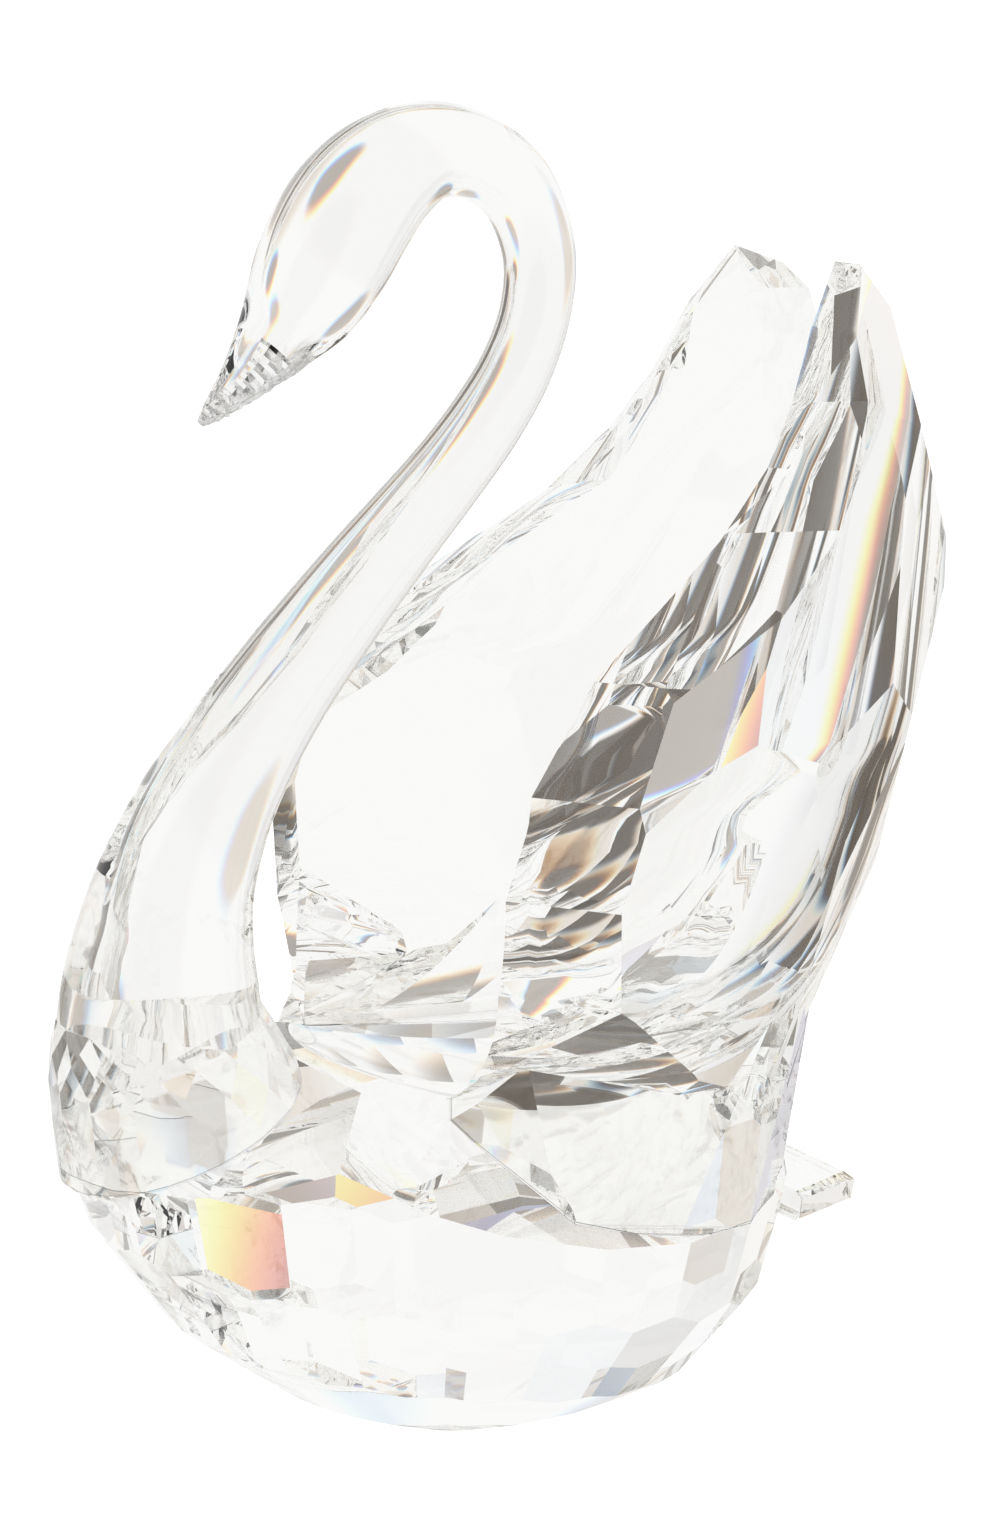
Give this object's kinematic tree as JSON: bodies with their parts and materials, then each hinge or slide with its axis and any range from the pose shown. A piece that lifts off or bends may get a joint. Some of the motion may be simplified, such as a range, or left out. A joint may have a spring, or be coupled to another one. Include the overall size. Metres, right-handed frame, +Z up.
{
  "type": "cut crystal swan figurine",
  "caption": "Swan ornament of clear cut crystal: faceted body with a polished back, drawn neck and head, two cupped wings and a small tail.",
  "frame": {"origin": "on the table, on the swan's plane of symmetry, between the breast and the wing backs", "axes": "+Z up, -Y the way the swan faces, +X the swan's left side"},
  "size_m": [0.045, 0.074, 0.0953],
  "materials": {
    "crystal": "clear, polished facets",
    "adhesive": "clear cured film"
  },
  "bodies": {
    "root": {"body": "crystal", "neck_and_head": "crystal", "left_wing": "crystal", "right_wing": "crystal", "tail": "crystal", "neck_bond": "adhesive", "left_wing_bond": "adhesive", "right_wing_bond": "adhesive", "tail_bond": "adhesive"}
  },
  "joints": []
}
